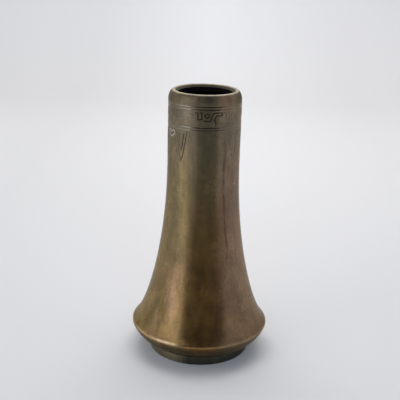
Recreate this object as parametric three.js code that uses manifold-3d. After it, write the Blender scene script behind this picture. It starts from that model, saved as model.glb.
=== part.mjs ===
// Flower vase of patinated cast bronze. A straight neck widens in one long sweep to a low
// shoulder, turns under to a narrower base and stands on a separate foot ring. Silver wire is
// let into the neck: two pairs of lines, a band of stylised dragons and a row of hanging blades.

import * as THREE from 'three';
import { mergeVertices } from 'three/addons/utils/BufferGeometryUtils.js';
import Module from 'manifold-3d';

const wasm = await Module();
wasm.setup();

// Overall sizes, in millimetres
const vaseHeight = 220;
const neckRadius = 29.1;
const shoulderRadius = 57.3;
const shoulderHeight = 23.8;
const baseRadius = 42.3;
const wallThickness = 2.6;

// Straight neck, and the sweep from its foot down to the shoulder
const neckLength = 61;
const sweepTop = vaseHeight - neckLength;
const sweepTopPull = 68.4;
const sweepEndPull = 16.4;
const shoulderLean = 0.838;
const shoulderRounding = 2.34;

// Underside between shoulder and base
const undersideBulge = new THREE.Vector2(53.2, 13.6);

// Lip, a rounded roll whose inner face falls in to the crisp edge of the throat
const lipWidth = 4.2;
const lipHeight = 8;
const lipTopRadius = neckRadius - lipWidth;
const mouthRadius = 21;
const mouthEdgeDrop = 2.6;
const mouthLand = 3.4;
const lipUndersideDrop = 11.5;

// Foot ring and the plate that closes the base
const footHeight = 7.1;
const footRadius = baseRadius - 0.7;
const footWidth = 5;
const footChamfer = 0.5;
const plateHold = 2;
const plateRadius = footRadius - footWidth + plateHold;
const plateThickness = 1.4;
const plateLedge = 4.5;
const fitClearance = 0.05;

// Silver wire
const wireWidth = 0.8;
const wireDepth = 0.6;

// Border lines, in two pairs above and below the dragon band
const lipToBorder = lipHeight + 0.8;
const borderSpacing = 2.1;
const bandHeight = 14;
const bandTop = vaseHeight - lipToBorder - borderSpacing;
const bandFoot = bandTop - bandHeight;
const lowestBorder = bandFoot - borderSpacing;
const borderHeights = [lowestBorder, bandFoot, bandTop, bandTop + borderSpacing];

// Blades that hang under the lowest border, and the loops between them
const bladeGap = 1.5;
const bladeLength = 23.6;
const bladeTop = lowestBorder - bladeGap;
const bladeTip = bladeTop - bladeLength;

// Repeats round the neck
const repeatCount = 8;
const repeatLength = 2 * Math.PI * neckRadius / repeatCount;
const bandStart = -13 * Math.PI / 180;
const bladeStart = -37.5 * Math.PI / 180;
const longestBend = repeatLength / 5;

const turnSegments = 40;

const bronze = new THREE.MeshStandardMaterial({ color: 0x6a5a40, roughness: 0.38, metalness: 1 });
const footBronze = new THREE.MeshStandardMaterial({ color: 0x54473a, roughness: 0.42, metalness: 1 });
const plateBronze = new THREE.MeshStandardMaterial({ color: 0x4c4134, roughness: 0.55, metalness: 1 });
const silver = new THREE.MeshStandardMaterial({ color: 0xbdb7a8, roughness: 0.3, metalness: 1 });

const group = new THREE.Group();

function point(radius, height) {
  return new THREE.Vector2(radius, height);
}

// Turns a closed outline of radius and height about the upright axis
function turned(outline) {
  const lathe = new THREE.LatheGeometry([...outline, outline[0].clone()], turnSegments);
  lathe.rotateX(Math.PI / 2);
  return closedMesh(lathe);
}

function closedMesh(geometry) {
  geometry.deleteAttribute('normal');
  geometry.deleteAttribute('uv');
  return mergeVertices(geometry, 0.0001);
}

function toSolid(geometry) {
  const vertProperties = new Float32Array(geometry.attributes.position.array);
  const triVerts = new Uint32Array(geometry.index.array);
  return new wasm.Manifold(new wasm.Mesh({ numProp: 3, vertProperties, triVerts }));
}

function fromSolid(solid) {
  const mesh = solid.getMesh();
  const geometry = new THREE.BufferGeometry();
  geometry.setAttribute('position', new THREE.BufferAttribute(mesh.vertProperties, 3));
  geometry.setIndex(new THREE.BufferAttribute(mesh.triVerts, 1));
  return geometry;
}

function addPiece(name, geometry, material) {
  geometry.computeVertexNormals();
  const mesh = new THREE.Mesh(geometry, material.clone());
  mesh.name = name;
  group.add(mesh);
}

// Points on the inside of a wall whose outer face follows the curve
function inside(curve, count) {
  const points = [];
  for (let i = 0; i <= count; i += 1) {
    const tangent = curve.getTangent(i / count);
    const inward = point(-tangent.y, tangent.x);
    points.push(curve.getPoint(i / count).addScaledVector(inward, wallThickness));
  }
  return points;
}

const shoulder = point(shoulderRadius, shoulderHeight);
const baseEdge = point(baseRadius, footHeight);
const sweepDirection = point(-Math.sin(shoulderLean), Math.cos(shoulderLean));
const undersideDirection = undersideBulge.clone().sub(shoulder).normalize();
const sweepEnd = shoulder.clone().addScaledVector(sweepDirection, shoulderRounding);
const undersideEnd = shoulder.clone().addScaledVector(undersideDirection, shoulderRounding);

const underside = new THREE.QuadraticBezierCurve(baseEdge, undersideBulge, undersideEnd);
const shoulderTurn = new THREE.QuadraticBezierCurve(undersideEnd, shoulder, sweepEnd);
const sweep = new THREE.CubicBezierCurve(
  sweepEnd,
  shoulder.clone().addScaledVector(sweepDirection, sweepEndPull),
  point(neckRadius, sweepTop - sweepTopPull),
  point(neckRadius, sweepTop),
);

// The square groove turned round the neck for one border line
function borderGroove(height) {
  const floor = neckRadius - wireDepth - fitClearance;
  const half = wireWidth / 2 + fitClearance;
  return [
    point(neckRadius, height - half),
    point(floor, height - half),
    point(floor, height + half),
    point(neckRadius, height + half),
  ];
}

// Up the outside of the lip, over its top and down its inner face to the throat's edge
function lipPoints() {
  const outside = [];
  const steps = 5;
  for (let i = 0; i <= steps; i += 1) {
    const angle = i / steps * Math.PI / 2;
    outside.push(point(
      lipTopRadius + lipWidth * Math.cos(angle),
      vaseHeight - lipHeight + lipHeight * Math.sin(angle),
    ));
  }
  const innerFace = new THREE.QuadraticBezierCurve(
    point(lipTopRadius, vaseHeight),
    point((lipTopRadius + mouthRadius) / 2, vaseHeight),
    point(mouthRadius, vaseHeight - mouthEdgeDrop),
  );
  return [...outside, ...innerFace.getPoints(3).slice(1)];
}

// Hollow cast body, open at the mouth and at the base, where a ledge takes the plate
function castBody() {
  const outer = [
    ...underside.getPoints(5),
    ...shoulderTurn.getPoints(3).slice(1),
    ...sweep.getPoints(12).slice(1),
    ...borderHeights.flatMap(borderGroove),
    ...lipPoints(),
  ];
  const mouthEdge = vaseHeight - mouthEdgeDrop;
  const innerNeckRadius = neckRadius - wallThickness;
  const throat = [
    point(mouthRadius, mouthEdge - mouthLand),
    point(innerNeckRadius, vaseHeight - lipUndersideDrop),
  ];
  const inner = [...inside(underside, 3), ...inside(sweep, 8)].reverse();
  const floorTop = inner[inner.length - 1].y;
  const ledgeRadius = plateRadius - plateLedge;
  const ledgeHeight = footHeight + plateThickness;
  const base = [
    point(ledgeRadius, floorTop),
    point(ledgeRadius, ledgeHeight),
    point(plateRadius + fitClearance, ledgeHeight),
    point(plateRadius + fitClearance, footHeight),
  ];
  return turned([...outer, ...throat, ...inner, ...base]);
}

function footRing() {
  const inner = footRadius - footWidth;
  return turned([
    point(inner + footChamfer, 0),
    point(footRadius - footChamfer, 0),
    point(footRadius, footChamfer),
    point(footRadius, footHeight),
    point(inner, footHeight),
    point(inner, footChamfer),
  ]);
}

function basePlate() {
  const plate = new THREE.CylinderGeometry(plateRadius, plateRadius, plateThickness, turnSegments);
  plate.rotateX(Math.PI / 2);
  plate.translate(0, 0, footHeight + plateThickness / 2);
  return closedMesh(plate);
}

function borderWire(height) {
  const half = wireWidth / 2;
  return turned([
    point(neckRadius - wireDepth, height - half),
    point(neckRadius, height - half),
    point(neckRadius, height + half),
    point(neckRadius - wireDepth, height + half),
  ]);
}

// Adds points to a path so that each stretch is short enough to bend round the neck
function shortened(path, closed) {
  const points = [];
  const stretches = closed ? path.length : path.length - 1;
  for (let i = 0; i < stretches; i += 1) {
    const from = path[i];
    const to = path[(i + 1) % path.length];
    const parts = Math.max(1, Math.ceil(Math.abs(to.x - from.x) / longestBend));
    for (let k = 0; k < parts; k += 1) {
      points.push(from.clone().lerp(to, k / parts));
    }
  }
  if (!closed) {
    points.push(path[path.length - 1].clone());
  }
  return points;
}

// The sideways step from the middle of the wire to its edge at one path point
function edgeStep(points, index, closed, halfWidth) {
  const count = points.length;
  const before = closed ? points[(index - 1 + count) % count] : points[Math.max(index - 1, 0)];
  const after = closed ? points[(index + 1) % count] : points[Math.min(index + 1, count - 1)];
  const incoming = points[index].clone().sub(before).normalize();
  const outgoing = after.clone().sub(points[index]).normalize();
  const along = incoming.clone().add(outgoing).normalize();
  const sideways = point(-along.y, along.x);
  const reference = incoming.lengthSq() > 0 ? incoming : outgoing;
  const spread = sideways.dot(point(-reference.y, reference.x));
  return sideways.multiplyScalar(halfWidth / spread);
}

// A strip of square section along a path of arc length and height, bent round the neck
function bentStrip(path, closed, turn, halfWidth, innerRadius, outerRadius) {
  const points = shortened(path, closed);
  const positions = [];
  const place = (flat, radius) => {
    const angle = turn + flat.x / neckRadius;
    positions.push(radius * Math.sin(angle), -radius * Math.cos(angle), flat.y);
  };
  points.forEach((middle, index) => {
    const step = edgeStep(points, index, closed, halfWidth);
    const right = middle.clone().sub(step);
    const left = middle.clone().add(step);
    place(right, innerRadius);
    place(left, innerRadius);
    place(left, outerRadius);
    place(right, outerRadius);
  });
  const indices = [];
  const count = points.length;
  const stretches = closed ? count : count - 1;
  for (let i = 0; i < stretches; i += 1) {
    const here = 4 * i;
    const next = 4 * ((i + 1) % count);
    for (let side = 0; side < 4; side += 1) {
      const other = (side + 1) % 4;
      indices.push(here + side, here + other, next + other);
      indices.push(here + side, next + other, next + side);
    }
  }
  if (!closed) {
    const last = 4 * (count - 1);
    indices.push(0, 3, 2, 0, 2, 1);
    indices.push(last, last + 1, last + 2, last, last + 2, last + 3);
  }
  const geometry = new THREE.BufferGeometry();
  geometry.setAttribute('position', new THREE.Float32BufferAttribute(positions, 3));
  geometry.setIndex(indices);
  return geometry;
}

function wire(design, turn) {
  const inner = neckRadius - wireDepth;
  return bentStrip(design.path, design.closed, turn, wireWidth / 2, inner, neckRadius);
}

// The groove is the wire grown by the clearance and carried out through the neck's face
function groove(design, turn) {
  const half = wireWidth / 2 + fitClearance;
  const inner = neckRadius - wireDepth - fitClearance;
  return bentStrip(design.path, design.closed, turn, half, inner, neckRadius + 1);
}

// Designs of the wires, as arc length to the right of their start and height above the table.
// One repeat is drawn on a grid, 22 squares across and 14 squares up the band.
const squaresAcross = 22;
const squaresUp = 14;
const squareWidth = repeatLength / squaresAcross;
const squareHeight = bandHeight / squaresUp;

function onBand(across, up) {
  return point(across * squareWidth, bandFoot + up * squareHeight);
}

// Hooked crest in front of the eye
const crest = {
  name: 'crest_wire',
  start: bandStart,
  closed: false,
  path: [
    onBand(-0.8, 11.7),
    onBand(1.3, 11.7),
    onBand(1.3, 6.6),
    onBand(4.3, 6.6),
    onBand(4.3, 11.7),
    onBand(2.9, 11.7),
  ],
};

// Round eye that runs out to a point at its left
function eyePath() {
  const corners = 8;
  const points = [];
  for (let i = 0; i < corners; i += 1) {
    const angle = Math.PI - i / corners * 2 * Math.PI;
    const reach = i === 0 ? 2.1 : 1.65;
    points.push(onBand(8.3 + reach * Math.cos(angle), 9.5 + 1.5 * Math.sin(angle)));
  }
  return points;
}
const eye = { name: 'eye_wire', start: bandStart, closed: true, path: eyePath() };

// Belly line, neck and back of the dragon, bent from one wire
const dragon = {
  name: 'dragon_wire',
  start: bandStart,
  closed: false,
  path: [
    onBand(5.5, 5.4),
    onBand(10.4, 5.4),
    onBand(11.3, 7),
    onBand(12.2, 10.1),
    onBand(13.2, 11.3),
    onBand(14.7, 11.7),
    onBand(19.8, 11.7),
    onBand(19.8, 9.6),
    onBand(15.1, 9.6),
    onBand(13.8, 6.2),
    onBand(14.8, 4.6),
    onBand(14.8, 2.6),
  ],
};

// Blade outline, straight down to a knee and then faster in to the tip
function bladePath(topSquares, kneeSquares, top, knee, tip) {
  return [
    point(-topSquares * squareWidth, top),
    point(-kneeSquares * squareWidth, knee),
    point(0, tip),
    point(kneeSquares * squareWidth, knee),
    point(topSquares * squareWidth, top),
  ];
}
const bladeKnee = bladeTip + bladeLength / 6;
const innerTop = bladeTop - bladeLength / 12;
const innerTip = bladeTip + bladeLength / 2.8;
const innerKnee = innerTip + bladeLength / 9;
const bladeOuter = {
  name: 'blade_outer_wire',
  start: bladeStart,
  closed: false,
  path: bladePath(5.2, 1.5, bladeTop, bladeKnee, bladeTip),
};
const bladeInner = {
  name: 'blade_inner_wire',
  start: bladeStart,
  closed: false,
  path: bladePath(2.3, 1, innerTop, innerKnee, innerTip),
};

// Heart-shaped loop half way between two blades
function dropPath() {
  const middle = squaresAcross / 2;
  const place = (across, down) => {
    return point((middle + across) * squareWidth, bladeTop - down * bladeLength / 24);
  };
  const rightSide = [[4.3, 3.4], [3.7, 1.4], [2.1, 0.9], [0, 2.7]];
  const leftSide = [[-2.1, 0.9], [-3.7, 1.4], [-4.3, 3.4]];
  return [[0, 6.6], ...rightSide, ...leftSide].map(([across, down]) => place(across, down));
}
const drop = { name: 'drop_wire', start: bladeStart, closed: true, path: dropPath() };

const designs = [crest, eye, dragon, bladeOuter, bladeInner, drop];

// Cuts every groove in the body and lays each wire in its own groove
let body = toSolid(castBody());
for (const design of designs) {
  for (let i = 0; i < repeatCount; i += 1) {
    const turn = design.start + i * repeatLength / neckRadius;
    body = body.subtract(toSolid(groove(design, turn)));
    addPiece(`${design.name}_${i + 1}`, wire(design, turn), silver);
  }
}

addPiece('vase_body', fromSolid(body), bronze);
addPiece('foot_ring', footRing(), footBronze);
addPiece('base_plate', basePlate(), plateBronze);
borderHeights.forEach((height, index) => {
  addPiece(`border_wire_${index + 1}`, borderWire(height), silver);
});

export default group;
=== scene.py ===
# %% [markdown]
# This lesson dresses a small cast bronze flower vase. The shape, the foot ring, the plate in
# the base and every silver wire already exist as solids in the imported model. Blender's job is
# to give them the smooth turned surface, the patina and the light that the photograph shows.
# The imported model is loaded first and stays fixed: everything else is fitted to it.

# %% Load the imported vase
import math

import bmesh
import bpy
from mathutils import Matrix, Vector
from mathutils.kdtree import KDTree


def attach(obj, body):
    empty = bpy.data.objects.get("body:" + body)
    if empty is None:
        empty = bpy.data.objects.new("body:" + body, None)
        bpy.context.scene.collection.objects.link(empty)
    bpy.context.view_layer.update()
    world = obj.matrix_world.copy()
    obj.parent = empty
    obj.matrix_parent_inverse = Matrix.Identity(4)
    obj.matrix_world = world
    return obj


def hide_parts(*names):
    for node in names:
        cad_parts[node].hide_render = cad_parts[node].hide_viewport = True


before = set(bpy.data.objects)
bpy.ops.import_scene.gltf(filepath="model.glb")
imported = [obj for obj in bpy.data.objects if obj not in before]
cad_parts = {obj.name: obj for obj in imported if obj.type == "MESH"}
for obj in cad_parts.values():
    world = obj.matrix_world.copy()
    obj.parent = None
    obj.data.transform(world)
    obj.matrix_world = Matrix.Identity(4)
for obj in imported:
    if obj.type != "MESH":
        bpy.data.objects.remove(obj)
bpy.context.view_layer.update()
print("pieces in the packed vase:", len(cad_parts))

# %% [markdown]
# A vase like this is drawn as one outline and turned about its upright axis. The outline is
# written here in millimetres, with the same sizes as the solids: a straight neck, a long
# sweep, a low shoulder with a small rounding, a rounded underside and a narrow base. Curves
# come from Bezier formulas, so a smoother mesh only needs more steps.

# %% Sizes of the outline
MM = 0.001
vase_height = 220.0
neck_radius = 29.1
shoulder = Vector((57.3, 23.8))
base_radius = 42.3
wall_thickness = 2.6
neck_length = 61.0
sweep_top_pull = 68.4
sweep_end_pull = 16.4
shoulder_lean = 0.838
shoulder_rounding = 2.34
underside_bulge = Vector((53.2, 13.6))
foot_height = 7.1
print("neck and base across in mm:", 2 * neck_radius, 2 * base_radius)


# %% Curves and walls
def bezier(points, steps):
    """Points along a Bezier curve with three or four control points."""
    made = []
    order = len(points) - 1
    for i in range(steps + 1):
        t = i / steps
        total = Vector((0.0, 0.0))
        for k, p in enumerate(points):
            weight = math.comb(order, k) * t**k * (1 - t) ** (order - k)
            total += weight * Vector(p)
        made.append(total)
    return made


def inset(curve, distance):
    """The curve moved inwards, to its left, by a wall's thickness."""
    made = []
    for i, p in enumerate(curve):
        ahead = curve[min(i + 1, len(curve) - 1)] - curve[max(i - 1, 0)]
        ahead.normalize()
        made.append(p + distance * Vector((-ahead.y, ahead.x)))
    return made


# %% Underside, shoulder and sweep
underside_steps = 18
shoulder_steps = 10
sweep_steps = 44
sweep_direction = Vector((-math.sin(shoulder_lean), math.cos(shoulder_lean)))
underside_direction = (underside_bulge - shoulder).normalized()
sweep_end = shoulder + shoulder_rounding * sweep_direction
underside_end = shoulder + shoulder_rounding * underside_direction
base_edge = Vector((base_radius, foot_height))
sweep_top = vase_height - neck_length

underside = bezier([base_edge, underside_bulge, underside_end], underside_steps)
shoulder_turn = bezier([underside_end, shoulder, sweep_end], shoulder_steps)
sweep = bezier(
    [
        sweep_end,
        shoulder + sweep_end_pull * sweep_direction,
        (neck_radius, sweep_top - sweep_top_pull),
        (neck_radius, sweep_top),
    ],
    sweep_steps,
)
print("outline steps:", len(underside) + len(shoulder_turn) + len(sweep))

# %% [markdown]
# The lip is a thick rounded roll. Outside it rises from the neck as a quarter of an ellipse.
# Over the top it falls in to the throat, where a crisp edge divides the lit lip from the dark
# inside. A corner that is really sharp never catches light, so the edges of the throat and of
# the base get a rounding of a few tenths of a millimetre. The neck's face is sunk by a tenth
# of a millimetre, so that the wires stand a little proud of it and catch the light too.

# %% Rounded lip
lip_width = 4.2
lip_height = 8.0
lip_top_radius = neck_radius - lip_width
lip_steps = 14
lip_flat = 0.5
mouth_radius = 21.5
mouth_edge_drop = 2.2
mouth_edge = vase_height - mouth_edge_drop


def lip_curve():
    """Up the outside of the lip, over its top and in to just before the throat's edge."""
    made = []
    for i in range(lip_steps + 1):
        angle = i / lip_steps * math.pi / 2
        radius = lip_top_radius + lip_width * math.cos(angle)
        made.append(Vector((radius, vase_height - lip_height + lip_height * math.sin(angle))))
    control = (lip_top_radius - lip_flat, vase_height)
    edge = (mouth_radius, mouth_edge)
    return made + bezier([made[-1], control, edge], lip_steps)[1:-1]


print("points along the lip:", len(lip_curve()))

# %% Throat, inner wall and seat of the plate
mouth_land = 3.4
lip_underside_drop = 11.5
foot_radius = base_radius - 0.7
foot_width = 5.0
plate_radius = foot_radius - foot_width + 2.0
plate_thickness = 1.4
plate_ledge = 4.5
plate_clearance = 0.05
# Each rounding is a few points, so far outwards and so far upwards from the sharp corner.
throat_rounding = [(0.12, 0.16), (0.03, 0.0), (0.0, -0.15)]
base_rounding = [(-0.25, 0.0), (-0.05, 0.06), (0.18, 0.22)]


def body_outline():
    """Closed outline of the hollow body, up the outside and down the inside."""
    inner_neck = neck_radius - wall_thickness
    throat = [Vector((mouth_radius + out, mouth_edge + rise)) for out, rise in throat_rounding]
    throat += [
        Vector((mouth_radius, mouth_edge - mouth_land)),
        Vector((inner_neck, vase_height - lip_underside_drop)),
    ]
    inner = list(reversed(inset(underside, wall_thickness) + inset(sweep, wall_thickness)))
    ledge = plate_radius - plate_ledge
    seat = plate_radius + plate_clearance
    corner = [Vector((base_radius + out, foot_height + rise)) for out, rise in base_rounding]
    base = [
        Vector((ledge, inner[-1].y)),
        Vector((ledge, foot_height + plate_thickness)),
        Vector((seat, foot_height + plate_thickness)),
        Vector((seat, foot_height)),
    ]
    outer = [p.copy() for p in underside[1:] + shoulder_turn[1:] + sweep[1:]]
    return corner[2:] + outer + lip_curve() + throat + inner + base + corner[:2]


# %% Neck sunk under the wires
neck_sink = 0.1
tolerance = 0.01


def sunk(outline):
    """The outline with the neck's face a tenth of a millimetre under the faces of the wires."""
    made = []
    for p in outline:
        on_neck = p.x > neck_radius - tolerance and p.y >= sweep_top - tolerance
        made.append(Vector((p.x - neck_sink, p.y)) if on_neck else p)
    return made


print("points round the body's outline:", len(sunk(body_outline())))

# %% [markdown]
# To model it as by hand, one circle is added at the outline's first height. It is extruded
# and scaled again and again, which is how a turned shape is drawn up in edit mode. The last
# ring is bridged to the first, so the wall is one closed skin with an outside and an inside.

# %% Turning and smoothing
steps_round = 128


def deselect_all():
    if bpy.context.object and bpy.context.object.mode != "OBJECT":
        bpy.ops.object.mode_set(mode="OBJECT")
    bpy.ops.object.select_all(action="DESELECT")


def turned(name, outline):
    """Draws a closed outline up from one circle, ring by ring, and bridges the ends."""
    deselect_all()
    first = outline[0]
    bpy.ops.mesh.primitive_circle_add(
        vertices=steps_round, radius=first.x * MM, location=(0, 0, 0)
    )
    piece = bpy.context.object
    piece.name = name
    piece.data.name = name
    bpy.ops.object.mode_set(mode="EDIT")
    bpy.ops.mesh.select_all(action="SELECT")
    bpy.ops.transform.translate(value=(0, 0, first.y * MM))
    here = first
    for there in outline[1:]:
        bpy.ops.mesh.extrude_region_move(
            TRANSFORM_OT_translate={"value": (0, 0, (there.y - here.y) * MM)}
        )
        scale = there.x / here.x
        bpy.ops.transform.resize(value=(scale, scale, 1))
        here = there
    bpy.ops.mesh.select_all(action="DESELECT")
    bpy.ops.mesh.select_mode(type="EDGE")
    bpy.ops.mesh.select_non_manifold(extend=False)
    bpy.ops.mesh.bridge_edge_loops()
    bpy.ops.mesh.select_all(action="SELECT")
    bpy.ops.mesh.normals_make_consistent(inside=False)
    bpy.ops.object.mode_set(mode="OBJECT")
    return piece


def smooth(piece, degrees=40):
    """Smooth shading, broken only at edges sharper than the given angle."""
    deselect_all()
    piece.select_set(True)
    bpy.context.view_layer.objects.active = piece
    bpy.ops.object.shade_smooth_by_angle(angle=math.radians(degrees))


def report_piece(piece):
    size = [round(1000 * d, 2) for d in piece.dimensions]
    print(piece.name, "faces:", len(piece.data.polygons), "size in mm:", size)


# %% Turn the body
bronze_body = turned("bronze_body", sunk(body_outline()))
smooth(bronze_body)
report_piece(bronze_body)

# %% [markdown]
# The inside was never polished, so it is dull, and its colour is painted nearly black as
# painted shade, the shade deep in the hollow. The change falls exactly on the throat's edge.
# Each vertex from that edge down the inner wall is given the value 1 in an attribute called
# hollow, which the finish reads. The slope from the lip's crest in to the throat is painted
# dark too, a painted shade. It gets an attribute of its own, named for that slope.

# %% Mark the inner wall and the lip's slope
throat_margin = 0.05
slope_overlap = 0.2
crest_width = 0.3


def mark_inside(piece, outline):
    """Gives 1 in hollow to the inner wall, and 1 to the lip's inner slope, where shade is painted.
    """
    places = KDTree(len(outline))
    for index, p in enumerate(outline):
        places.insert((p.x, p.y, 0), index)
    places.balance()
    throat_edge = mouth_edge + tolerance
    ledge_height = foot_height + plate_thickness
    first = next(i for i, p in enumerate(outline) if p.x < mouth_radius + throat_margin)
    last = max(i for i, p in enumerate(outline) if p.y > ledge_height - tolerance)
    hollow = piece.data.attributes.new("hollow", "FLOAT", "POINT")
    slope = piece.data.attributes.new("lip_slope_shade", "FLOAT", "POINT")
    for vertex in piece.data.vertices:
        radius = math.hypot(vertex.co.x, vertex.co.y) / MM
        height = vertex.co.z / MM
        index = places.find((radius, height, 0))[1]
        inside = first <= index <= last and height < throat_edge
        on_slope = height >= throat_edge - slope_overlap and radius < lip_top_radius - crest_width
        hollow.data[vertex.index].value = 1.0 if inside else 0.0
        slope.data[vertex.index].value = 1.0 if on_slope else 0.0
    print(piece.name, "marked as inner wall:", sum(int(v.value) for v in hollow.data))
    print(piece.name, "marked as lip slope:", sum(int(v.value) for v in slope.data))


mark_inside(bronze_body, sunk(body_outline()))

# %% [markdown]
# The foot is a separate ring under the body. Its outer face stands a little further in than
# the body's edge, so a fine line of shade or light runs between the two. Its lower edges are
# worn round from standing on shelves.

# %% Turn the foot ring
foot_wear = 0.5
foot_top_rounding = 0.3


def foot_outline():
    """Closed outline of the ring, from its worn lower edge up the outside and down the inside."""
    bottom = (foot_radius - foot_wear, 0)
    lower = bezier([bottom, (foot_radius, 0), (foot_radius, foot_wear)], 4)
    below_top = (foot_radius, foot_height - foot_top_rounding)
    top = (foot_radius - foot_top_rounding, foot_height)
    upper = bezier([below_top, (foot_radius, foot_height), top], 3)
    inner = foot_radius - foot_width
    inside = [(inner, foot_height), (inner, foot_wear), (inner + foot_wear, 0.0)]
    return lower + upper + [Vector(p) for p in inside]


bronze_foot = turned("bronze_foot", foot_outline())
smooth(bronze_foot)
report_piece(bronze_foot)

# %% [markdown]
# The silver is drawn wire, hammered into grooves and rubbed down until it is almost flush.
# The four border lines are plain rings, so they are turned like the body, from an outline
# with softened outer corners. Other ways would be to bend a curve with a square section round
# the neck, or to extrude a flat ring. Turning gives the cleanest faces.

# %% Silver border rings
wire_width = 0.8
wire_depth = 0.6
wire_softening = 0.12
lip_to_border = lip_height + 0.8
border_spacing = 2.1
band_height = 14.0
band_top = vase_height - lip_to_border - border_spacing
band_foot = band_top - band_height
border_heights = [band_foot - border_spacing, band_foot, band_top, band_top + border_spacing]


def ring_outline(height):
    """Section of one border wire: square inside the groove, softened at its outer corners."""
    half = wire_width / 2
    soft_radius = neck_radius - wire_softening
    return [
        Vector((neck_radius - wire_depth, height - half)),
        Vector((soft_radius, height - half)),
        Vector((neck_radius, height - half + wire_softening)),
        Vector((neck_radius, height + half - wire_softening)),
        Vector((soft_radius, height + half)),
        Vector((neck_radius - wire_depth, height + half)),
    ]


silver_pieces = []
for number, height in enumerate(border_heights, start=1):
    ring = turned(f"silver_border_{number}", ring_outline(height))
    smooth(ring, 60)
    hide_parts(f"border_wire_{number}")
    silver_pieces.append(ring)
report_piece(silver_pieces[0])

# %% [markdown]
# The other wires turn this way and that, so they can't be turned on the axis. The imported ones
# already lie in the right places. One wire of each kind is copied, its faces are cut finer,
# and its vertices are laid back on the neck's true circle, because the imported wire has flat
# stretches. Vertices that the cutting leaves almost on top of each other are merged, so that
# no sliver of a face is left. The finished wire is then copied round the neck, and each copy
# gets its own mesh.

# %% A finer wire
join_distance = 0.002
sliver_width = 0.02


def refined_wire(name, node):
    """A finer copy of one packed wire, laid on the neck's true circle, with no slivers."""
    deselect_all()
    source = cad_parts[node]
    source.select_set(True)
    bpy.context.view_layer.objects.active = source
    bpy.ops.object.duplicate()
    piece = bpy.context.object
    piece.name = name
    piece.data.name = name
    for key in [k for k in piece.keys() if k.startswith("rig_")]:
        del piece[key]
    piece.parent = None
    bpy.ops.object.mode_set(mode="EDIT")
    bpy.ops.mesh.select_all(action="SELECT")
    bpy.ops.mesh.remove_doubles(threshold=join_distance * MM)
    bpy.ops.mesh.dissolve_limited(angle_limit=math.radians(1.0))
    bpy.ops.mesh.quads_convert_to_tris()
    bpy.ops.mesh.tris_convert_to_quads(
        face_threshold=math.radians(40), shape_threshold=math.radians(60)
    )
    bpy.ops.mesh.subdivide(number_cuts=2)
    bpy.ops.object.mode_set(mode="OBJECT")
    face_radius = neck_radius * MM
    floor_radius = (neck_radius - wire_depth) * MM
    middle = (neck_radius - wire_depth / 2) * MM
    for vertex in piece.data.vertices:
        out = math.hypot(vertex.co.x, vertex.co.y)
        goal = face_radius if out > middle else floor_radius
        vertex.co.x *= goal / out
        vertex.co.y *= goal / out
    cuts = bmesh.new()
    cuts.from_mesh(piece.data)
    bmesh.ops.remove_doubles(cuts, verts=cuts.verts, dist=sliver_width * MM)
    cuts.to_mesh(piece.data)
    cuts.free()
    return piece


# %% Silver wires of the band, blades and loops
repeat_count = 8
wire_kinds = {
    "crest_wire": "silver_crest",
    "eye_wire": "silver_eye",
    "dragon_wire": "silver_dragon",
    "blade_outer_wire": "silver_blade",
    "blade_inner_wire": "silver_blade_core",
    "drop_wire": "silver_loop",
}
for node_kind, piece_kind in wire_kinds.items():
    pattern = refined_wire(f"{piece_kind}_1", f"{node_kind}_1")
    smooth(pattern, 50)
    for number in range(1, repeat_count + 1):
        if number == 1:
            copy = pattern
        else:
            copy = pattern.copy()
            copy.data = pattern.data.copy()
            copy.name = f"{piece_kind}_{number}"
            bpy.context.scene.collection.objects.link(copy)
            turn = (number - 1) * 2 * math.pi / repeat_count
            copy.data.transform(Matrix.Rotation(turn, 4, "Z"))
        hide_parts(f"{node_kind}_{number}")
        silver_pieces.append(copy)
    report_piece(pattern)
print("silver pieces:", len(silver_pieces))

# %% [markdown]
# A finish is built from small steps that are used again and again: a new material, a noise, a
# ramp of colours, a mix. Each step gets a short helper, so that the finishes below read like
# a recipe. All patterns sit on Object coordinates, which stay fixed to the vase.

# %% New material and coordinates
def new_material(name):
    material = bpy.data.materials.new(name)
    material.use_nodes = True
    tree = material.node_tree
    tree.nodes.clear()
    output = tree.nodes.new("ShaderNodeOutputMaterial")
    shader = tree.nodes.new("ShaderNodeBsdfPrincipled")
    tree.links.new(shader.outputs["BSDF"], output.inputs["Surface"])
    return material, tree, shader


def mapped(tree, scale=(1, 1, 1)):
    """Object coordinates, scaled, so that a pattern can be stretched along one direction."""
    place = tree.nodes.new("ShaderNodeTexCoord")
    mapping = tree.nodes.new("ShaderNodeMapping")
    mapping.inputs["Scale"].default_value = scale
    tree.links.new(place.outputs["Object"], mapping.inputs["Vector"])
    return mapping.outputs["Vector"]


def place_of(tree):
    """The three coordinates of the place on the piece: across, in depth and up."""
    node = tree.nodes.new("ShaderNodeSeparateXYZ")
    tree.links.new(mapped(tree), node.inputs["Vector"])
    return node.outputs["X"], node.outputs["Y"], node.outputs["Z"]


def attribute(tree, name):
    """A value that was stored on the piece's vertices."""
    node = tree.nodes.new("ShaderNodeAttribute")
    node.attribute_name = name
    return node.outputs["Fac"]


# %% Patterns, ramps and bumps
def noise(tree, vector, scale, detail=4.0, roughness=0.55, distortion=0.0):
    node = tree.nodes.new("ShaderNodeTexNoise")
    node.inputs["Scale"].default_value = scale
    node.inputs["Detail"].default_value = detail
    node.inputs["Roughness"].default_value = roughness
    node.inputs["Distortion"].default_value = distortion
    tree.links.new(vector, node.inputs["Vector"])
    return node.outputs["Fac"]


def ramp(tree, value, stops):
    """Colour or grey by value: stops are (place, colour)."""
    node = tree.nodes.new("ShaderNodeValToRGB")
    elements = node.color_ramp.elements
    elements[0].position, elements[0].color = stops[0][0], stops[0][1]
    elements[1].position, elements[1].color = stops[-1][0], stops[-1][1]
    for place, colour in stops[1:-1]:
        element = elements.new(place)
        element.color = colour
    tree.links.new(value, node.inputs["Fac"])
    return node.outputs["Color"]


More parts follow.
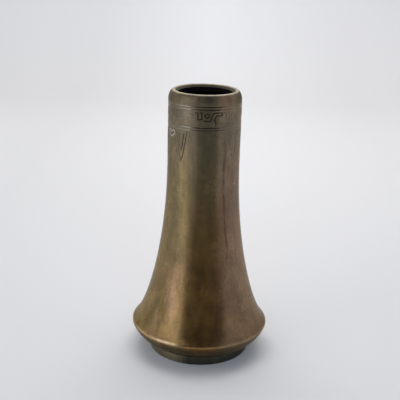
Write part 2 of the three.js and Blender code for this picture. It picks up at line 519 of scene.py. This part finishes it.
def bumped(tree, shader, height, strength, distance):
    """Lets a pattern raise and lower the surface a little in the light."""
    node = tree.nodes.new("ShaderNodeBump")
    node.inputs["Strength"].default_value = strength
    node.inputs["Distance"].default_value = distance
    tree.links.new(height, node.inputs["Height"])
    tree.links.new(node.outputs["Normal"], shader.inputs["Normal"])


# %% Colours and values put together
def mixed(tree, factor, a, b, mode="MIX"):
    """Colour a with a share of colour b laid over it."""
    node = tree.nodes.new("ShaderNodeMix")
    node.data_type = "RGBA"
    node.blend_type = mode
    if isinstance(factor, float):
        node.inputs["Factor"].default_value = factor
    else:
        tree.links.new(factor, node.inputs["Factor"])
    for socket, value in ((node.inputs["A"], a), (node.inputs["B"], b)):
        if isinstance(value, tuple):
            socket.default_value = value
        else:
            tree.links.new(value, socket)
    return node.outputs["Result"]


def tinted(tree, factor, colour, tint):
    """The colour multiplied by a tint, by the given share."""
    return mixed(tree, factor, colour, tint, "MULTIPLY")


def mapped_range(tree, value, low, high, to_low, to_high):
    """The value, moved from one range to another and held at its ends."""
    node = tree.nodes.new("ShaderNodeMapRange")
    node.inputs["From Min"].default_value = low
    node.inputs["From Max"].default_value = high
    node.inputs["To Min"].default_value = to_low
    node.inputs["To Max"].default_value = to_high
    tree.links.new(value, node.inputs["Value"])
    return node.outputs["Result"]


def joined(tree, operation, a, b):
    """Two values put together by one step of arithmetic."""
    node = tree.nodes.new("ShaderNodeMath")
    node.operation = operation
    for socket, value in ((node.inputs[0], a), (node.inputs[1], b)):
        if isinstance(value, float):
            socket.default_value = value
        else:
            tree.links.new(value, socket)
    return node.outputs["Value"]


def product(tree, first, *others):
    """All the given values multiplied together."""
    for other in others:
        first = joined(tree, "MULTIPLY", first, other)
    return first


# %% [markdown]
# Patinated bronze is metal under a thin brown skin of oxide. The skin is never even. Wiping
# leaves faint upright streaks, the casting leaves pin specks, and a slow clouding runs over
# all of it. These three layers make up the mottle, a grey value that is multiplied over the
# bronze's own colour. The clouds also move the roughness a little, so that reflections break
# up as they do on an old surface.

# %% Mottle of the bronze
def slow_clouds(tree):
    return noise(tree, mapped(tree), 34.0, 5.0, 0.6, 0.4)


def pin_specks(tree):
    return noise(tree, mapped(tree), 420.0, 3.0, 0.6)


def mottle(tree, clouds, specks):
    """A grey around 1: slow clouds, upright wiping streaks and fine pin specks."""
    upright = (1, 1, 0.06)
    streaks = noise(tree, mapped(tree, upright), 150.0, 3.0, 0.6)
    slow = ramp(tree, clouds, [(0.32, (0.84, 0.84, 0.85, 1)), (0.68, (1.12, 1.11, 1.1, 1))])
    wiped = ramp(tree, streaks, [(0.35, (0.86, 0.85, 0.85, 1)), (0.65, (1.1, 1.1, 1.09, 1))])
    pins = ramp(
        tree,
        specks,
        [
            (0.34, (0.85, 0.84, 0.83, 1)),
            (0.44, (1, 1, 1, 1)),
            (0.58, (1, 1, 1, 1)),
            (0.68, (1.2, 1.18, 1.15, 1)),
        ],
    )
    return tinted(tree, 1.0, tinted(tree, 1.0, slow, wiped), pins)


# %% [markdown]
# Use and time mark particular places. The shoulder's ridge and the lip's crest are rubbed
# bright, and on top of that a glint is painted along the ridge and a highlight along the crest.
# Water has left a thin dark run down the front. The front also has rosy patches at the lower
# left and at the right of the lip, a painted highlight as a golden streak down the left, and a
# darker, browner middle. Such marks could be painted on an image by hand. Here each one is a
# share from 0 to 1 that is worked out from the place on the piece, so it stays sharp at any
# size. Most of them use the same curve, a bell: full in the middle and fading to nothing on both
# sides. Places and widths are in metres here, because the coordinates that the nodes read are in
# metres.

# %% Bell curve and the front half
def bell(tree, value, middle, half_width):
    """1 where the value is at the middle, falling to 0 a half width away on both sides."""
    away = joined(tree, "ABSOLUTE", joined(tree, "SUBTRACT", value, middle), 0.0)
    return mapped_range(tree, away, 0.0, half_width, 1.0, 0.0)


def at_front(tree, share, depth):
    """The share on the half of the vase that faces the camera, and 0 behind."""
    return product(tree, share, joined(tree, "LESS_THAN", depth, 0.0))


# %% Rubbed ridge and crest, with a painted glint and highlight
ridge_height = shoulder.y * MM + 0.0003
ridge_half_width = 0.0014
crest_half_width = 0.0009


def ridge_wear_and_glint(tree, across, up):
    """The shoulder's ridge is worn golden, with a painted glint that is strongest at its left."""
    ridge = bell(tree, up, ridge_height, ridge_half_width)
    place = mapped_range(tree, across, -0.05, 0.05, 0.0, 1.0)
    # Where along the ridge the painted glint falls, brightest at the front's left.
    wear_and_glint_round = [
        (0.0, 0.35),
        (0.14, 0.45),
        (0.2, 1.0),
        (0.25, 1.0),
        (0.33, 0.3),
        (0.5, 0.1),
        (0.72, 0.25),
        (0.84, 0.04),
    ]
    wear_and_glint = ramp(tree, place, [(at, (grey, grey, grey, 1)) for at, grey in wear_and_glint_round])
    return product(tree, ridge, wear_and_glint)


def crest_wear_and_highlight(tree, up):
    """The crest of the lip is touched with every bunch of flowers, so it is worn pale, and it is
    painted paler still as a highlight line.
    """
    return bell(tree, up, vase_height * MM, crest_half_width)


# %% Dark run down the front
run_top = 0.145
run_foot = 0.092
run_middle = 0.135
run_reach = 0.055
run_half_width = 0.001


def dark_run(tree, across, depth, up):
    """A thin red brown line where water once ran down the front, right of the middle."""
    wobble = mapped_range(tree, noise(tree, mapped(tree), 60.0), 0.3, 0.7, -0.0008, 0.0008)
    course = mapped_range(tree, up, run_top, run_foot, 0.0163, 0.0208)
    beside = joined(tree, "SUBTRACT", joined(tree, "ADD", across, wobble), course)
    line = bell(tree, beside, 0.0, run_half_width)
    breaks = noise(tree, mapped(tree, (0.1, 0.1, 1)), 90.0, 2.0, 0.5)
    broken = mapped_range(tree, breaks, 0.36, 0.5, 0.25, 1.0)
    length = mapped_range(tree, bell(tree, up, run_middle, run_reach), 0.0, 0.4, 0.0, 1.0)
    return at_front(tree, product(tree, line, length, broken), depth)


# %% Rosy places
patch_height = 0.053
patch_reach = 0.045
patch_half_width = 0.015


def rosy_place(tree, across, depth, up):
    """Cloudy patches at the lower left of the front, where the rubbed metal looks rosy."""
    clouds = noise(tree, mapped(tree, (1, 1, 0.8)), 60.0, 5.0, 0.62, 0.3)
    cloudy = mapped_range(tree, clouds, 0.46, 0.56, 0.0, 0.85)
    leaning = joined(tree, "SUBTRACT", across, product(tree, up, 0.24))
    side = bell(tree, leaning, -0.0375, patch_half_width)
    length = bell(tree, up, patch_height, patch_reach)
    share = joined(tree, "MINIMUM", product(tree, side, length, 2.0), 1.0)
    return at_front(tree, product(tree, share, cloudy), depth)


def rosy_lip(tree, across, depth, up):
    """The right of the lip's front, where hands have rubbed the bronze rosy."""
    side = bell(tree, across, 0.0165, 0.0085)
    height = mapped_range(tree, up, 0.198, 0.204, 0.0, 1.0)
    share = joined(tree, "MINIMUM", product(tree, side, height, 1.5), 1.0)
    return at_front(tree, share, depth)


# %% Painted highlight streak and brown middle
highlight_streak_side = -0.015
highlight_streak_half_width = 0.0055


def golden_highlight_streak(tree, across, depth, up):
    """A painted highlight: a long golden streak down the left of the front."""
    slant = mapped_range(tree, up, 0.115, 0.085, 0.0, -0.003)
    beside = joined(tree, "SUBTRACT", across, slant)
    wobble = mapped_range(tree, noise(tree, mapped(tree), 45.0), 0.3, 0.7, -0.0015, 0.0015)
    line = bell(tree, joined(tree, "ADD", beside, wobble), highlight_streak_side, highlight_streak_half_width)
    from_above = mapped_range(tree, up, 0.19, 0.165, 0.0, 1.0)
    from_below = mapped_range(tree, up, 0.085, 0.14, 0.0, 1.0)
    length = product(tree, from_above, from_below)
    share = joined(tree, "MINIMUM", product(tree, line, length, 1.6), 1.0)
    return at_front(tree, share, depth)


def brown_middle(tree, across, depth, up):
    """The lower middle of the front, tinted darker and a warmer brown."""
    from_left = mapped_range(tree, across, -0.016, -0.006, 0.0, 1.0)
    from_right = mapped_range(tree, across, 0.024, 0.014, 0.0, 1.0)
    height = mapped_range(tree, up, 0.16, 0.11, 0.0, 1.0)
    return at_front(tree, product(tree, from_left, from_right, height), depth)


# %% [markdown]
# On the body the patina differs from place to place. Round the neck it is grey brown. Lower
# down, where hands hold the vase, it has worn thin and the metal shows through: golden olive
# on one side, plum brown on the other. The change from one tone to the next follows the
# height and the side, with noise added so that no edge is straight. The finish is laid on in
# the order of the real one: the skin, the rubbed places with their painted shade, glint and
# highlight, the mottle and then the streaks, one of them a painted highlight. The attribute
# called hollow switches to the dull inside, painted nearly black as shade.

# %% Patina by height and side
neck_brown = (0.22, 0.185, 0.13, 1)
rosy_brown = (0.43, 0.285, 0.17, 1)
underside_brown = (0.14, 0.105, 0.055, 1)
# painted shade on the lip's inner slope
lip_slope_painted_shade = (0.07, 0.07, 0.055, 1)
# worn gold of the ridge, brightened into a painted glint
ridge_gold_and_glint = (0.98, 0.76, 0.5, 1)
# worn pale crest with a painted highlight
crest_wear_and_highlight_tone = (0.72, 0.64, 0.52, 1)
# the crest's painted highlight, paler across the front
front_crest_highlight_tone = (0.98, 0.88, 0.72, 1)
run_brown = (0.12, 0.065, 0.04, 1)
# painted shade of the hollow inside: nearly black
inside_painted_shade = (0.003, 0.003, 0.005, 1)


def patina(tree, across, depth, up):
    """The brown skin: golden at the left, plum at the right, grey brown round the neck."""
    patches = noise(tree, mapped(tree, (1, 1, 0.5)), 22.0, 4.0, 0.65, 0.6)
    drift = mapped_range(tree, patches, 0.3, 0.7, -0.3, 0.3)
    worn = joined(tree, "ADD", mapped_range(tree, up, 0.165, 0.03, 0.0, 1.0), drift)
    rightwards = mapped_range(tree, across, 0.004, 0.02, 0.0, 1.0)
    side = joined(tree, "ADD", rightwards, product(tree, drift, 0.5))
    at_right = ramp(tree, side, [(0.3, (0, 0, 0, 1)), (0.7, (1, 1, 1, 1))])
    golden = ramp(tree, worn, [(0.1, (0.225, 0.18, 0.1, 1)), (0.95, (0.34, 0.24, 0.105, 1))])
    plum = ramp(tree, worn, [(0.1, (0.24, 0.17, 0.125, 1)), (0.95, (0.285, 0.2, 0.125, 1))])
    lower = mixed(tree, at_right, golden, plum)
    lower = mixed(tree, rosy_place(tree, across, depth, up), lower, rosy_brown)
    neck_share = mapped_range(tree, up, 0.15, 0.195, 0.0, 1.0)
    colour = mixed(tree, neck_share, lower, neck_brown)
    underneath = mapped_range(tree, up, 0.0235, 0.0215, 0.0, 0.85)
    return mixed(tree, underneath, colour, underside_brown)


def rubbed(tree, colour, across, depth, up):
    """The lip's inner slope in painted shade, and the edges that hands have worn bright, with a
    painted glint on the ridge and a painted highlight on the crest.
    """
    # The lip's inner slope gets painted shade.
    slope_shade_share = product(tree, attribute(tree, "lip_slope_shade"), 0.8)
    colour = mixed(tree, slope_shade_share, colour, lip_slope_painted_shade)
    # The ridge's wear and its painted glint.
    colour = mixed(tree, ridge_wear_and_glint(tree, across, up), colour, ridge_gold_and_glint)
    colour = tinted(tree, rosy_lip(tree, across, depth, up), colour, (1.36, 1.22, 1.2, 1))
    # The crest's painted highlight is paler across the middle of the front.
    front_crest_highlight = bell(tree, across, 0.004, 0.018)
    crest = mixed(tree, front_crest_highlight, crest_wear_and_highlight_tone, front_crest_highlight_tone)
    return mixed(tree, crest_wear_and_highlight(tree, up), colour, crest)


def streaked(tree, colour, across, depth, up):
    """The painted golden highlight streak, the darker browner middle and the dark run."""
    # A painted highlight lightens the bronze in a streak.
    streak = golden_highlight_streak(tree, across, depth, up)
    colour = tinted(tree, streak, colour, (1.4, 1.35, 1.24, 1))
    middle = brown_middle(tree, across, depth, up)
    colour = tinted(tree, middle, colour, (0.88, 0.75, 0.62, 1))
    return mixed(tree, dark_run(tree, across, depth, up), colour, run_brown)


# %% Bronze of the body
def body_roughness(tree, clouds, blotches, up):
    """Cloudy satin, duller on the lip and a little duller on the skirt."""
    cloudy = joined(tree, "ADD", product(tree, clouds, 0.6), product(tree, blotches, 0.4))
    even = mapped_range(tree, cloudy, 0.35, 0.65, 0.22, 0.29)
    satin_lip = mapped_range(tree, up, 0.2095, 0.2125, 0.0, 0.22)
    satin_skirt = mapped_range(tree, up, 0.075, 0.035, 0.0, 0.05)
    return joined(tree, "ADD", joined(tree, "ADD", even, satin_lip), satin_skirt)


def worn_bronze(name):
    """Patina, rubbed places with painted shade and highlights, mottle, streaks with a painted
    highlight, and the inside painted dark as shade, laid on in that order.
    """
    material, tree, shader = new_material(name)
    across, depth, up = place_of(tree)
    clouds = slow_clouds(tree)
    specks = pin_specks(tree)
    blotches = noise(tree, mapped(tree, (1, 1, 0.7)), 130.0, 3.0, 0.6)
    colour = patina(tree, across, depth, up)
    colour = rubbed(tree, colour, across, depth, up)
    colour = tinted(tree, 1.0, colour, mottle(tree, clouds, specks))
    thin = ramp(tree, blotches, [(0.36, (0.9, 0.89, 0.9, 1)), (0.66, (1.12, 1.1, 1.04, 1))])
    colour = tinted(tree, 1.0, colour, thin)
    colour = streaked(tree, colour, across, depth, up)
    # The inside is dull and not metallic, and painted nearly black as shade.
    hollow = attribute(tree, "hollow")
    colour = mixed(tree, hollow, colour, inside_painted_shade)
    tree.links.new(colour, shader.inputs["Base Color"])
    metal = mapped_range(tree, hollow, 0.0, 1.0, 0.92, 0.0)
    tree.links.new(metal, shader.inputs["Metallic"])
    rough = body_roughness(tree, clouds, blotches, up)
    tree.links.new(joined(tree, "MAXIMUM", rough, hollow), shader.inputs["Roughness"])
    shader.inputs["Specular Tint"].default_value = (0.64, 0.62, 0.58, 1)
    bumped(tree, shader, specks, 0.1, 0.0001)
    print(name, "nodes:", len(tree.nodes))
    return material


body_bronze = worn_bronze("body_bronze")

# %% [markdown]
# The foot ring and the plate are the same metal, but nobody polishes them. Their patina is
# darker, greyer and duller than the body's. The left of the foot is painted paler, a painted
# reflection of the bright paper beside it.
# The same clouds and specks as on the body are used again, so all the bronze belongs together.

# %% Bronze of the foot and the plate
def dull_bronze(name, lit_left_tone, tone, rough_low, rough_high):
    material, tree, shader = new_material(name)
    across = place_of(tree)[0]
    clouds = slow_clouds(tree)
    specks = pin_specks(tree)
    # The left is painted paler, a painted reflection.
    side = mapped_range(tree, across, -0.018, -0.008, 0.0, 1.0)
    skin = mixed(tree, side, lit_left_tone, tone)
    colour = tinted(tree, 1.0, skin, mottle(tree, clouds, specks))
    tree.links.new(colour, shader.inputs["Base Color"])
    shader.inputs["Metallic"].default_value = 0.9
    rough = mapped_range(tree, clouds, 0.3, 0.7, rough_low, rough_high)
    tree.links.new(rough, shader.inputs["Roughness"])
    bumped(tree, shader, specks, 0.15, 0.0001)
    print(name, "nodes:", len(tree.nodes))
    return material


# painted reflection: the paler left of the foot
foot_left_painted_light = (0.29, 0.235, 0.15, 1)
foot_dark = (0.075, 0.08, 0.062, 1)
plate_brown = (0.13, 0.11, 0.085, 1)
foot_bronze = dull_bronze("foot_bronze", foot_left_painted_light, foot_dark, 0.34, 0.46)
plate_bronze = dull_bronze("plate_bronze", plate_brown, plate_brown, 0.5, 0.65)

# %% [markdown]
# Silver tarnishes from pale grey through brown to black. Here the tones also paint the
# reflections by side. In the band and the borders the wires are painted pale at the left, a
# painted highlight, nearly black at the front, a painted dark reflection, and as brown as the
# bronze at the right, where they almost disappear. Under the band one loop at the front's left
# is painted pale as a highlight, the blade beside it dark as a reflection, and the other wires
# are close to the bronze. So there are three ramps of tones from left to right. The first two
# have noise added, so that each wire fades in and out along its length.

# %% Tones of the tarnish and the painted reflections
# The pale tones at the left are painted highlights; the nearly black and dark brown ones at the
# front are painted dark reflections.
bronze_like = (0.215, 0.18, 0.128, 1)
dark_reflection_black = (0.045, 0.037, 0.03, 1)
dark_reflection_brown = (0.05, 0.04, 0.034, 1)
border_tarnish_and_sheen = [
    (0.1, bronze_like),
    (0.17, (0.42, 0.4, 0.34, 1)),
    (0.29, (0.38, 0.36, 0.3, 1)),
    (0.35, bronze_like),
    (0.4, dark_reflection_brown),
    (0.68, dark_reflection_black),
    (0.78, bronze_like),
]
band_tarnish_and_sheen = [
    (0.06, bronze_like),
    (0.14, (0.27, 0.25, 0.2, 1)),
    (0.27, (0.25, 0.22, 0.17, 1)),
    (0.33, bronze_like),
    (0.37, bronze_like),
    (0.4, dark_reflection_brown),
    (0.72, dark_reflection_black),
    (0.8, bronze_like),
]
hanging_tarnish_and_sheen = [
    (0.1, (0.62, 0.59, 0.51, 1)),
    (0.135, bronze_like),
    (0.18, bronze_like),
    (0.21, (0.07, 0.05, 0.04, 1)),
    (0.28, (0.08, 0.06, 0.045, 1)),
    (0.34, bronze_like),
    (0.56, (0.17, 0.145, 0.105, 1)),
    (0.7, bronze_like),
]
print("tones of the borders, the band and what hangs under it:")
print(len(border_tarnish_and_sheen), len(band_tarnish_and_sheen), len(hanging_tarnish_and_sheen))


# %% Tarnished silver with painted reflections
def silver_tarnish_and_sheen(name):
    material, tree, shader = new_material(name)
    across, depth, up = place_of(tree)
    flecks = noise(tree, mapped(tree), 150.0, 4.0, 0.6)
    drift = mapped_range(tree, flecks, 0.3, 0.7, -0.07, 0.07)
    # The side, from left to right, picks the tarnish tones and the painted reflections.
    share = mapped_range(tree, across, -neck_radius * MM, neck_radius * MM, 0.0, 1.0)
    side = joined(tree, "ADD", share, drift)
    borders = ramp(tree, side, border_tarnish_and_sheen)
    band = ramp(tree, side, band_tarnish_and_sheen)
    hanging = ramp(tree, share, hanging_tarnish_and_sheen)
    band_middle = (band_foot + band_top) / 2 * MM
    band_reach = (band_height / 2 - 0.5) * MM
    from_middle = joined(tree, "ABSOLUTE", joined(tree, "SUBTRACT", up, band_middle), 0.0)
    on_border = joined(tree, "GREATER_THAN", from_middle, band_reach)
    upper = mixed(tree, on_border, band, borders)
    round_the_side = mapped_range(tree, depth, -0.011, -0.007, 0.0, 1.0)
    at_the_left = mapped_range(tree, share, 0.12, 0.14, 1.0, 0.0)
    dull_part = product(tree, round_the_side, at_the_left)
    lower = mixed(tree, dull_part, hanging, bronze_like)
    low = mapped_range(tree, up, 0.1935, 0.1915, 0.0, 1.0)
    tree.links.new(mixed(tree, low, upper, lower), shader.inputs["Base Color"])
    shader.inputs["Metallic"].default_value = 0.95
    shader.inputs["Specular Tint"].default_value = (0.82, 0.8, 0.76, 1)
    rough = mapped_range(tree, flecks, 0.3, 0.7, 0.28, 0.19)
    tree.links.new(rough, shader.inputs["Roughness"])
    print(name, "nodes:", len(tree.nodes))
    return material


silver_inlay = silver_tarnish_and_sheen("silver_inlay")

# %% [markdown]
# Each finished piece now gets its finish, its material slot and the body that it moves with.
# Nothing on a vase moves, so they all ride on the root. The plate is flat and hardly seen, so
# the imported one is kept and only gets its bronze.

# %% Dress the pieces
def dress(piece, material):
    piece.data.materials.clear()
    piece.data.materials.append(material)


dress(bronze_body, body_bronze)
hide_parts("vase_body")
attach(bronze_body, "root")
dress(bronze_foot, foot_bronze)
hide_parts("foot_ring")
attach(bronze_foot, "root")
for piece in silver_pieces:
    dress(piece, silver_inlay)
    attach(piece, "root")
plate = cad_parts["base_plate"]
plate.data.materials.clear()
plate.data.materials.append(plate_bronze)
print("dressed pieces:", len(silver_pieces) + 3)

# %% [markdown]
# The studio is one large sheet of pale paper that lies flat and sweeps up into a backdrop. It
# could be a floor and a wall, but a sweep shows no corner. Light and shade are painted on the
# paper: painted shade makes it darker to the sides, and painted light makes it paler up its
# curve and far out at the front's left, so that the picture's ground shades off as the
# photograph's does. Metal shows its surroundings, and left alone the neck would show the pale
# paper in front of it. So a grey card lies there, which only reflections see. It paints the
# dark brown stretch down the middle of the vase.

# %% Paper
def pale_paper(name, colour):
    """Paper with painted shade to the sides, and painted light up its curve and far out at the
    front's left.
    """
    material, tree, shader = new_material(name)
    across, depth = place_of(tree)[:2]
    # Painted shade to the sides.
    left = mapped_range(tree, across, 0.0, -0.26, 1.0, 0.88)
    right = mapped_range(tree, across, 0.02, 0.3, 1.0, 0.92)
    # Painted light up the curve.
    curve = mapped_range(tree, depth, 1.05, 1.46, 1.0, 1.15)
    # A painted pool of light far out at the front's left.
    patch = product(tree, bell(tree, across, -0.54, 0.24), bell(tree, depth, -0.32, 0.2))
    front_left = mapped_range(tree, patch, 0.0, 0.6, 1.0, 1.15)
    tone = product(tree, left, right, curve, front_left)
    tree.links.new(tinted(tree, 1.0, colour, tone), shader.inputs["Base Color"])
    shader.inputs["Roughness"].default_value = 0.9
    return material


# %% Floor and backdrop
floor_front = -1.3
floor_side = 1.6
backdrop_start = 1.1
backdrop_height = 1.6
backdrop_curve = 0.5
backdrop_steps = 12


def studio_sweep():
    """A floor plane whose back edge is extruded up in a curve to make the backdrop."""
    deselect_all()
    bpy.ops.mesh.primitive_plane_add(size=1, location=(0, 0, 0))
    piece = bpy.context.object
    piece.name = "studio_floor"
    depth = backdrop_start - floor_front
    bpy.ops.object.mode_set(mode="EDIT")
    bpy.ops.mesh.select_all(action="SELECT")
    bpy.ops.transform.resize(value=(2 * floor_side, depth, 1))
    bpy.ops.transform.translate(value=(0, floor_front + depth / 2, 0))
    bpy.ops.mesh.select_all(action="DESELECT")
    mesh = bmesh.from_edit_mesh(piece.data)
    bpy.ops.mesh.select_mode(type="EDGE")
    for edge in mesh.edges:
        edge.select_set(all(v.co.y > backdrop_start - MM for v in edge.verts))
    bmesh.update_edit_mesh(piece.data)
    before = Vector((0, 0))
    for i in range(1, backdrop_steps + 1):
        angle = i / backdrop_steps * math.pi / 2
        after = backdrop_curve * Vector((math.sin(angle), 1 - math.cos(angle)))
        move = after - before
        bpy.ops.mesh.extrude_region_move(
            TRANSFORM_OT_translate={"value": (0, move.x, move.y)}
        )
        before = after
    bpy.ops.mesh.extrude_region_move(
        TRANSFORM_OT_translate={"value": (0, 0, backdrop_height - backdrop_curve)}
    )
    bpy.ops.object.mode_set(mode="OBJECT")
    return piece


studio_floor = studio_sweep()
smooth(studio_floor)
studio_floor.data.materials.append(pale_paper("pale_paper", (0.8, 0.8, 0.815, 1)))
print("steps from floor to backdrop:", len(studio_floor.data.polygons))

# %% Grey card
card_lift = 0.002
card_back = [(-0.12, -0.3), (0.3, -0.3)]
card_front = [(-0.55, -1.28), (1.3, -1.28)]


def grey_card():
    """A grey card on the paper in front of the vase, seen only in reflections."""
    deselect_all()
    bpy.ops.mesh.primitive_plane_add(size=1, location=(0, 0, card_lift))
    piece = bpy.context.object
    piece.name = "grey_card"
    back_first = sorted(piece.data.vertices, key=lambda v: (-v.co.y, v.co.x))
    for vertex, (x, y) in zip(back_first, card_back + card_front):
        vertex.co = (x, y, 0)
    material, _, shader = new_material("grey_card")
    shader.inputs["Base Color"].default_value = (0.31, 0.3, 0.285, 1)
    shader.inputs["Roughness"].default_value = 0.9
    piece.data.materials.append(material)
    piece.visible_camera = False
    piece.visible_shadow = False
    piece.visible_diffuse = False
    return piece


grey_card()
print("card depth in metres:", round(card_back[0][1] - card_front[0][1], 2))

# %% [markdown]
# The light comes from large soft panels. The ones at both sides, at the back and above give
# the long reflections on the bronze, and a narrow strip at the front's left brightens the left
# of the skirt. Three more are there for the paper and the soft shadow. Their light falls on
# the vase too, but they are hidden from reflections, so the metal doesn't show them. Sharp
# lamps would be simpler, and would leave small hard glints that the photograph doesn't have.

# %% Light panels
def panel(name, place, target, size, power, colour=(1, 1, 1), mirrored=True):
    """A soft rectangular light, aimed at a target. One that isn't mirrored has no reflection."""
    data = bpy.data.lights.new(name, "AREA")
    data.shape = "RECTANGLE"
    data.size, data.size_y = size
    data.energy = power
    data.color = colour
    lamp = bpy.data.objects.new(name, data)
    bpy.context.scene.collection.objects.link(lamp)
    lamp.location = place
    aim = Vector(target) - Vector(place)
    lamp.rotation_euler = aim.to_track_quat("-Z", "Y").to_euler()
    lamp.visible_glossy = mirrored


cool_white = (0.98, 1.0, 0.98)
rosy_white = (1.0, 0.955, 0.985)
warm_rose = (1.0, 0.95, 0.96)
warm_white = (1.0, 0.985, 0.97)
sky_blue = (0.62, 0.81, 1.0)
panel("left_panel", (-1.1, 0.42, 0.55), (0, 0.42, 0.3), (1.55, 1.1), 2.5, cool_white)
panel("left_strip", (-0.585, -0.441, 0.5), (0, 0, 0.3), (0.5, 1.0), 1.6, rosy_white)
panel("right_panel", (1.1, 0.02, 0.72), (0, 0.02, 0.35), (2.14, 1.4), 3.91, warm_rose)
panel("back_panel", (0.0, 0.95, 1.1), (0, 0, 0.22), (2.2, 0.8), 6.0)
panel("top_panel", (0.0, 0.3, 1.6), (0, 0.3, 0), (1.6, 1.8), 2.6)
panel("table_panel", (0.0, 0.4, 1.5), (0, 0.35, 0), (1.3, 1.2), 7.9, warm_white, mirrored=False)
panel("backdrop_panel", (0.0, 0.7, 1.6), (0, 1.6, 0.2), (1.8, 0.8), 7.4, warm_white, mirrored=False)
panel("fill_panel", (0.0, -1.6, 0.9), (0, 0, 0), (1.6, 1.0), 9.8, sky_blue, mirrored=False)
print("light panels:", len(bpy.data.lights))

# %% [markdown]
# Round the paper and the panels the room is dim. It is a warm grey low down and darker
# higher up, and it shows in the metal wherever neither paper nor panel does.

# %% Dark room round the studio
world = bpy.data.worlds.new("studio_room")
world.use_nodes = True
room = world.node_tree
surroundings = room.nodes["Background"]
surroundings.inputs["Color"].default_value = (0.1, 0.092, 0.08, 1)
direction = room.nodes.new("ShaderNodeTexCoord")
height = room.nodes.new("ShaderNodeSeparateXYZ")
room.links.new(direction.outputs["Generated"], height.inputs["Vector"])
dimmed = mapped_range(room, height.outputs["Z"], 0.02, 0.5, 1.0, 0.1)
room.links.new(dimmed, surroundings.inputs["Strength"])
bpy.context.scene.world = world
print("room nodes:", len(room.nodes))

# %% [markdown]
# The camera has the photograph's viewing angle: it stands about 0.64 m in front of the vase
# and 0.34 m above the paper, looking down by 18 degrees. The picture is turned by a degree and
# a half, because the vase leans a little to the right in the photograph. These values come
# from fitting the vase's outline to the photograph.

# %% Camera
camera_distance = 0.6416
camera_height = 0.3372
camera_pitch = math.radians(18.14)
camera_roll = math.radians(1.55)
camera_yaw = math.radians(0.17)
focal_pixels = 825.0
frame_pixels = 400
picture_drop_pixels = 1.73
sensor_width = 36.0

camera_data = bpy.data.cameras.new("camera")
camera_data.sensor_width = sensor_width
camera_data.lens = focal_pixels / frame_pixels * sensor_width
camera_data.shift_y = picture_drop_pixels / frame_pixels
camera_data.clip_start = 0.01
camera = bpy.data.objects.new("camera", camera_data)
bpy.context.scene.collection.objects.link(camera)
base_turn = Matrix.Rotation(math.pi / 2 - camera_pitch, 4, "X")
camera.matrix_world = (
    Matrix.Translation((0, -camera_distance, camera_height))
    @ Matrix.Rotation(camera_yaw, 4, "Z")
    @ base_turn
    @ Matrix.Rotation(camera_roll, 4, "Z")
)
bpy.context.scene.camera = camera
bpy.context.scene.view_settings.view_transform = "Standard"
print("lens in mm:", round(camera_data.lens, 2))
